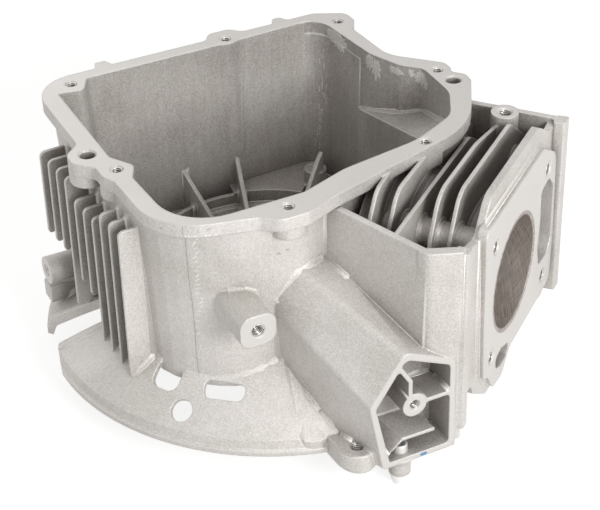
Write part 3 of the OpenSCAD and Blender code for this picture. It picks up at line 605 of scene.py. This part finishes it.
# ---------------------------------------------------------------- the liner
# The cylinder's wall: a grey cast-iron sleeve cast into the barrel, bored and then plateau-honed. The hone leaves
# two sets of fine scratches that cross at 46 degrees, drawn here every 1.7 mm so that they show in the render.
liner = frame["nodes"]["liner"]
BORE_R = 45 * mm
HONE_STEP = 1.7 * mm
HONE_LEAN = math.radians(67)          # of each set from the bore's axis
iron, t = new_material("honed_grey_cast_iron")
place = put(t, "ShaderNodeTexCoord").outputs["Object"]
part = put(t, "ShaderNodeSeparateXYZ", {0: place}).outputs
turn = put(t, "ShaderNodeMath", {0: part["Y"], 1: part["Z"]}, operation="ARCTAN2").outputs[0]
round_way = put(t, "ShaderNodeMath", {0: turn, 1: BORE_R}, operation="MULTIPLY").outputs[0]
scratches = 0.0
for slant in (-1, 1):
    lean = put(t, "ShaderNodeMath", {0: part["X"], 1: slant * math.tan(HONE_LEAN)}, operation="MULTIPLY").outputs[0]
    across = put(t, "ShaderNodeMath", {0: round_way, 1: lean}, operation="ADD").outputs[0]
    lane = put(t, "ShaderNodeCombineXYZ", {"X": across, "Y": round_way}).outputs[0]
    lane = put(t, "ShaderNodeMapping", {"Vector": lane, "Scale": (1 / HONE_STEP, 40, 1)}).outputs[0]
    cut = put(t, "ShaderNodeTexNoise", {"Vector": lane, "Scale": 1, "Detail": 4, "Roughness": 0.7}).outputs["Fac"]
    scratches = put(t, "ShaderNodeMath", {0: scratches, 1: cut}, operation="MAXIMUM").outputs[0]
tone = put(t, "ShaderNodeValToRGB", {"Fac": scratches})
for stop, (at, code) in zip(tone.color_ramp.elements, ((0.44, "8b8079"), (0.64, "c6beb7"))):
    stop.position, stop.color = at, colour(code)
bump = put(t, "ShaderNodeBump", {"Strength": 0.25, "Distance": 0.2 * mm, "Height": scratches}).outputs[0]
shader = put(t, "ShaderNodeBsdfPrincipled", {"Base Color": tone.outputs[0], "Metallic": 0.5, "Roughness": 0.42,
                                             "Normal": bump}).outputs[0]
put(t, "ShaderNodeOutputMaterial", {"Surface": shader})
liner.data.materials.clear()
liner.data.materials.append(iron)


# ---------------------------------------------------------------- the drain pipe
# A short turned steel pipe, zinc-plated and pressed up through a cast boss into the breather box, so that oil can
# drain to a hose. Below the boss it has a groove, a collar and a long lead-in taper that holds the hose.
low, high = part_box("drain_tube")
centre = (low + high) / 2
TOP, TIP = high.z / mm, low.z / mm
SEAT = -108.7                         # underside of the cast boss that the pipe comes out of
PIPE_R, FLARE_R, COLLAR_R, TAPER_R, TIP_R, PIPE_BORE = 5.8, 6.9, 7.4, 5.6, 5.0, 4.0
# radius and height, from the top of the bore down the outside and back
PROFILE = [(PIPE_BORE, TOP - 0.4), (PIPE_BORE + 0.4, TOP), (PIPE_R - 0.6, TOP), (PIPE_R, TOP - 0.6),
           (PIPE_R, SEAT + 0.4), (FLARE_R, SEAT + 0.1), (FLARE_R, SEAT - 0.6), (COLLAR_R - 0.4, SEAT - 0.65),
           (COLLAR_R, SEAT - 1.0), (COLLAR_R, SEAT - 4.0), (COLLAR_R - 0.25, SEAT - 4.4), (TAPER_R, TIP + 0.9),
           (TIP_R, TIP), (PIPE_BORE + 0.3, TIP), (PIPE_BORE, TIP + 0.3)]
ROUND = 64
lathed = bmesh.new()
rings = []
for i in range(ROUND):
    a = math.tau * i / ROUND
    rings.append([lathed.verts.new((centre.x + r * mm * math.cos(a), centre.y + r * mm * math.sin(a), z * mm))
                  for r, z in PROFILE])
for i in range(ROUND):
    join_rings(lathed, rings[i], rings[(i + 1) % ROUND])
# zinc plate over turned steel: pale, and lightened to nearly white as painted light against the box's shadow, with
# the tool's rings every 0.5 mm
zinc, t = new_material("zinc_plated_turned_steel")
place = put(t, "ShaderNodeTexCoord").outputs["Object"]
lanes = put(t, "ShaderNodeMapping", {"Vector": place, "Scale": (30, 30, 2200)}).outputs[0]
tool = put(t, "ShaderNodeTexNoise", {"Vector": lanes, "Scale": 1, "Detail": 2}).outputs["Fac"]
tone = put(t, "ShaderNodeMix", {"Factor": tool, 6: colour("e9e8e6"), 7: colour("fbfaf9")},
           data_type="RGBA").outputs[2]
bump = put(t, "ShaderNodeBump", {"Strength": 0.15, "Distance": 0.1 * mm, "Height": tool}).outputs[0]
shader = put(t, "ShaderNodeBsdfPrincipled", {"Base Color": tone, "Metallic": 0.45, "Roughness": 0.30,
                                             "Normal": bump}).outputs[0]
put(t, "ShaderNodeOutputMaterial", {"Surface": shader})
pipe = finished_piece("drain_pipe", lathed, zinc)
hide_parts("drain_tube")


# ---------------------------------------------------------------- cut threads
# Every tapped hole of the block has a cut metric thread. Its ridges stand 0.7 mm inside the drilled wall, and the
# freshly cut aluminium in them is brighter than the skin. One tree makes the ridge and puts it in each hole.
mounts = {m["name"]: m for m in frame["record"]["mounts"]}


def hole(name, to_mouth):
    """Where a tapped hole opens, to_mouth millimetres out from its mount, and the way out of it."""
    axis = Vector(mounts[name]["axis"])
    return Vector(mounts[name]["pos_m"]) + axis * to_mouth * mm, axis


bolts = mounts["head_bolts"]
heads = [(Vector((0, bolts["pos_m"][1] + y * bolts["dims"]["spacing_x_mm"] / 2 * mm,
                  z * bolts["dims"]["spacing_y_mm"] / 2 * mm)), OUT_OF_DECK) for y in (-1, 1) for z in (-1, 1)]
sump_holes = [hole("sump_bolt_%d" % (i + 1), 4) for i in range(7)]
ear_mouth = (uvz(*EAR_HOLE, EAR_TOP), UPWARD)
# hole's radius, pitch and depth in millimetres, and where each one opens
THREADS = {"sump_screw_threads": (4.0, 1.5, 12, sump_holes), "head_bolt_threads": (5.0, 1.75, 14, heads),
           "cover_screw_thread": (4.0, 1.5, 14, [hole("cover_screw", 8)]),
           "side_boss_thread": (4.2, 1.5, 12, [hole("left_boss", 6)]),
           "boss_threads": (5.0, 1.75, 12, [hole("front_boss", 5), hole("top_boss", 8), ear_mouth])}
RIDGE = 0.5 * mm
BURIED = 0.30 * mm                    # of the ridge, in the drilled wall
BELOW_MOUTH = 1.0 * mm                # where the thread starts

# cut aluminium: bright and fairly smooth, with chatter marks of 1 mm
tapped, t = new_material("cut_aluminium_thread")
place = put(t, "ShaderNodeTexCoord").outputs["Object"]
chatter = put(t, "ShaderNodeTexNoise", {"Vector": place, "Scale": 900, "Detail": 2}).outputs["Fac"]
tone = put(t, "ShaderNodeMix", {"Factor": chatter, 6: colour("cac6c1"), 7: colour("f0eeeb")},
           data_type="RGBA").outputs[2]
shader = put(t, "ShaderNodeBsdfPrincipled", {"Base Color": tone, "Metallic": 0.85, "Roughness": 0.28}).outputs[0]
put(t, "ShaderNodeOutputMaterial", {"Surface": shader})

tree, given, sockets = new_tree("thread_in_each_hole", (
    ("Holes", "Geometry"), ("Hole radius", "Float"), ("Pitch", "Float"), ("Depth", "Float"), ("Ridge", "Float"),
    ("Finish", "Material")), "Threads")
turns = put(tree, "ShaderNodeMath", {0: given["Depth"], 1: given["Pitch"]}, operation="DIVIDE").outputs[0]
crest = put(tree, "ShaderNodeMath", {0: given["Hole radius"], 1: given["Ridge"]}, operation="SUBTRACT").outputs[0]
coil_r = put(tree, "ShaderNodeMath", {0: crest, 1: BURIED}, operation="ADD").outputs[0]
spiral = put(tree, "GeometryNodeCurveSpiral", {"Resolution": 20, "Rotations": turns, "Start Radius": coil_r,
                                               "End Radius": coil_r, "Height": given["Depth"]}).outputs[0]
ridge = put(tree, "GeometryNodeCurvePrimitiveCircle", {"Resolution": 5, "Radius": given["Ridge"]}).outputs[0]
coil = put(tree, "GeometryNodeCurveToMesh", {"Curve": spiral, "Profile Curve": ridge, "Fill Caps": True}).outputs[0]
down = put(tree, "ShaderNodeMath", {0: given["Depth"], 1: -1.0}, operation="MULTIPLY").outputs[0]
down = put(tree, "ShaderNodeCombineXYZ", {"Z": down}).outputs[0]
coil = put(tree, "GeometryNodeTransform", {"Geometry": coil, "Translation": down}).outputs[0]
out_way = put(tree, "GeometryNodeInputNamedAttribute", {"Name": "out_way"},
              data_type="FLOAT_VECTOR").outputs["Attribute"]
facing_out = put(tree, "FunctionNodeAlignRotationToVector", {"Vector": out_way}, axis="Z").outputs[0]
each = put(tree, "GeometryNodeInstanceOnPoints", {"Points": given["Holes"], "Instance": coil,
                                                  "Rotation": facing_out}).outputs[0]
each = put(tree, "GeometryNodeRealizeInstances", {0: each}).outputs[0]
each = put(tree, "GeometryNodeSetMaterial", {"Geometry": each, "Material": given["Finish"]}).outputs[0]
put(tree, "NodeGroupOutput", {0: each})

for name, (radius, pitch, depth, holes) in THREADS.items():
    starts = [(mouth - way * BELOW_MOUTH, way) for mouth, way in holes]
    grown_piece(name, starts, tree, sockets, {"Hole radius": radius * mm, "Pitch": pitch * mm, "Depth": depth * mm,
                                              "Ridge": RIDGE, "Finish": tapped})


# ---------------------------------------------------------------- the studio
# A plain pale floor under the block and a white surround, as for a catalogue picture. Both look white to the
# camera and in gloss, and throw only a soft light on the block; the floor keeps its shadow.
FLOOR_REACH = 8.0                     # metres
floor_mesh = bpy.data.meshes.new("floor")
floor_mesh.from_pydata([(x * FLOOR_REACH, y * FLOOR_REACH, low.z) for x, y in ((-1, -1), (1, -1), (1, 1), (-1, 1))],
                       [], [(0, 1, 2, 3)])
floor = bpy.data.objects.new("floor", floor_mesh)
bpy.context.scene.collection.objects.link(floor)
sweep, t = new_material("white_studio_sweep")
paper = put(t, "ShaderNodeBsdfDiffuse", {"Color": colour("e9e8e6")}).outputs[0]
white = put(t, "ShaderNodeEmission", {"Color": (1, 1, 1, 1), "Strength": 1.36}).outputs[0]
rays = put(t, "ShaderNodeLightPath").outputs
seen = put(t, "ShaderNodeMath", {0: rays["Is Camera Ray"], 1: rays["Is Glossy Ray"]}, operation="MAXIMUM").outputs[0]
seen = put(t, "ShaderNodeMath", {0: seen, 1: rays["Is Transmission Ray"]}, operation="MAXIMUM").outputs[0]
share = put(t, "ShaderNodeMath", {0: seen, 1: 0.60}, operation="MULTIPLY").outputs[0]
mixed = put(t, "ShaderNodeMixShader", {0: share, 1: paper, 2: white}).outputs[0]
put(t, "ShaderNodeOutputMaterial", {"Surface": mixed})
floor_mesh.materials.append(sweep)

world = bpy.data.worlds.new("surround")
bpy.context.scene.world = world
world.use_nodes = True
t = world.node_tree
t.nodes.clear()
rays = put(t, "ShaderNodeLightPath").outputs
seen = put(t, "ShaderNodeMath", {0: rays["Is Camera Ray"], 1: rays["Is Glossy Ray"]}, operation="MAXIMUM").outputs[0]
seen = put(t, "ShaderNodeMath", {0: seen, 1: rays["Is Transmission Ray"]}, operation="MAXIMUM").outputs[0]
strength = put(t, "ShaderNodeMapRange", {"Value": seen, "To Min": 0.31, "To Max": 1.0}).outputs[0]
sky = put(t, "ShaderNodeBackground", {"Color": (1, 1, 1, 1), "Strength": strength}).outputs[0]
put(t, "ShaderNodeOutputWorld", {"Surface": sky})

# Two soft boxes and two weak fills: the main one at the right, a broad one overhead. Each has its azimuth and
# elevation in degrees, its distance from the block's middle and its side in metres, and its watts.
MIDDLE = Vector((-0.19, 0, -0.01))
LAMPS = {"main_softbox": (58, 24, 2.2, 0.8, 36), "overhead_softbox": (20, 80, 2.0, 1.6, 6),
         "left_fill": (-70, 16, 1.3, 0.8, 1.7), "rear_fill": (-125, 38, 2.2, 1.2, 5)}
for name, (azimuth, elevation, away, size, watts) in LAMPS.items():
    a, e = math.radians(azimuth), math.radians(elevation)
    way = Vector((math.sin(a) * math.cos(e), -math.cos(a) * math.cos(e), math.sin(e)))
    lamp = bpy.data.lights.new(name, "AREA")
    lamp.shape, lamp.size, lamp.energy = "SQUARE", size, watts
    stand = bpy.data.objects.new(name, lamp)
    stand.location = MIDDLE + way * away
    stand.rotation_euler = (-way).to_track_quat("-Z", "Y").to_euler()
    bpy.context.scene.collection.objects.link(stand)


# ---------------------------------------------------------------- the camera
# The photograph's viewpoint: in front of the block, a little to the deck's side, looking down at about 34 degrees.
# Its place is given from the centre of the bore on the deck, along its own axes, in millimetres.
AZIMUTH, ELEVATION, ROLL = (math.radians(x) for x in (25.75, 33.96, -1.51))
EYE_BACK, EYE_LEFT, EYE_UP = 1383.4, 164.7, 12.8
SENSOR, LENS = 36, 108
back = Vector((math.sin(AZIMUTH) * math.cos(ELEVATION), -math.cos(AZIMUTH) * math.cos(ELEVATION),
               math.sin(ELEVATION)))
level = Vector((math.cos(AZIMUTH), math.sin(AZIMUTH), 0))
upward = back.cross(level)
right = level * math.cos(ROLL) + upward * math.sin(ROLL)
up = -level * math.sin(ROLL) + upward * math.cos(ROLL)
eye = (back * EYE_BACK - right * EYE_LEFT + up * EYE_UP) * mm
camera = bpy.data.cameras.new("camera")
camera.sensor_width, camera.lens = SENSOR, LENS
camera.clip_start, camera.clip_end = 0.05, 40
viewer = bpy.data.objects.new("camera", camera)
viewer.matrix_world = Matrix(((right.x, up.x, back.x, eye.x), (right.y, up.y, back.y, eye.y),
                              (right.z, up.z, back.z, eye.z), (0, 0, 0, 1)))
bpy.context.scene.collection.objects.link(viewer)
bpy.context.scene.camera = viewer
bpy.context.scene.view_settings.view_transform = "Standard"
